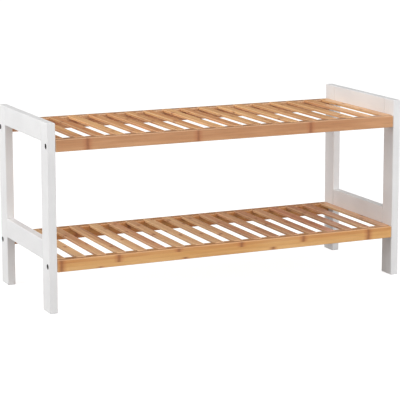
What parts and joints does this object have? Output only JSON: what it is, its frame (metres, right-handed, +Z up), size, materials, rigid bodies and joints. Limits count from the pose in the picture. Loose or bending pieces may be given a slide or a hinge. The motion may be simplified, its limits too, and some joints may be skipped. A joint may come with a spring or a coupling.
{
  "type": "slatted shoe bench",
  "caption": "Low two-tier entryway bench and shoe rack: bamboo slat shelves between white painted end frames with raised side rails.",
  "frame": {"origin": "centre of the footprint, on the plane the four legs stand on", "axes": "+X along the width to the right, +Y from the front to the back, +Z up"},
  "size_m": [0.7, 0.265, 0.335],
  "materials": {
    "white_paint": "satin white paint over smooth solid wood",
    "bamboo_rail_upper": "clear satin lacquer over laminated bamboo, reddish brown",
    "bamboo_rail_lower": "clear satin lacquer over laminated bamboo, yellow brown",
    "bamboo_slat": "clear satin lacquer over laminated bamboo, colour varies from slat to slat",
    "dark_steel": "dark zinc plated steel"
  },
  "bodies": {
    "root": {"left_front_leg": "white_paint", "left_rear_leg": "white_paint", "left_upper_side_rail": "white_paint", "left_lower_side_rail": "white_paint", "right_front_leg": "white_paint", "right_rear_leg": "white_paint", "right_upper_side_rail": "white_paint", "right_lower_side_rail": "white_paint", "upper_front_shelf_rail": "bamboo_rail_upper", "upper_rear_shelf_rail": "bamboo_rail_upper", "upper_slat_01": "bamboo_slat", "upper_slat_02": "bamboo_slat", "upper_slat_03": "bamboo_slat", "upper_slat_04": "bamboo_slat", "upper_slat_05": "bamboo_slat", "upper_slat_06": "bamboo_slat", "upper_slat_07": "bamboo_slat", "upper_slat_08": "bamboo_slat", "upper_slat_09": "bamboo_slat", "upper_slat_10": "bamboo_slat", "upper_slat_11": "bamboo_slat", "upper_slat_12": "bamboo_slat", "upper_slat_13": "bamboo_slat", "upper_slat_14": "bamboo_slat", "upper_slat_15": "bamboo_slat", "upper_slat_16": "bamboo_slat", "upper_slat_17": "bamboo_slat", "upper_slat_18": "bamboo_slat", "lower_front_shelf_rail": "bamboo_rail_lower", "lower_rear_shelf_rail": "bamboo_rail_lower", "lower_slat_01": "bamboo_slat", "lower_slat_02": "bamboo_slat", "lower_slat_03": "bamboo_slat", "lower_slat_04": "bamboo_slat", "lower_slat_05": "bamboo_slat", "lower_slat_06": "bamboo_slat", "lower_slat_07": "bamboo_slat", "lower_slat_08": "bamboo_slat", "lower_slat_09": "bamboo_slat", "lower_slat_10": "bamboo_slat", "lower_slat_11": "bamboo_slat", "lower_slat_12": "bamboo_slat", "lower_slat_13": "bamboo_slat", "lower_slat_14": "bamboo_slat", "lower_slat_15": "bamboo_slat", "lower_slat_16": "bamboo_slat", "lower_slat_17": "bamboo_slat", "lower_slat_18": "bamboo_slat", "left_front_upper_bolt": "dark_steel", "left_front_lower_bolt": "dark_steel", "left_rear_upper_bolt": "dark_steel", "left_rear_lower_bolt": "dark_steel", "right_front_upper_bolt": "dark_steel", "right_front_lower_bolt": "dark_steel", "right_rear_upper_bolt": "dark_steel", "right_rear_lower_bolt": "dark_steel"}
  },
  "joints": []
}
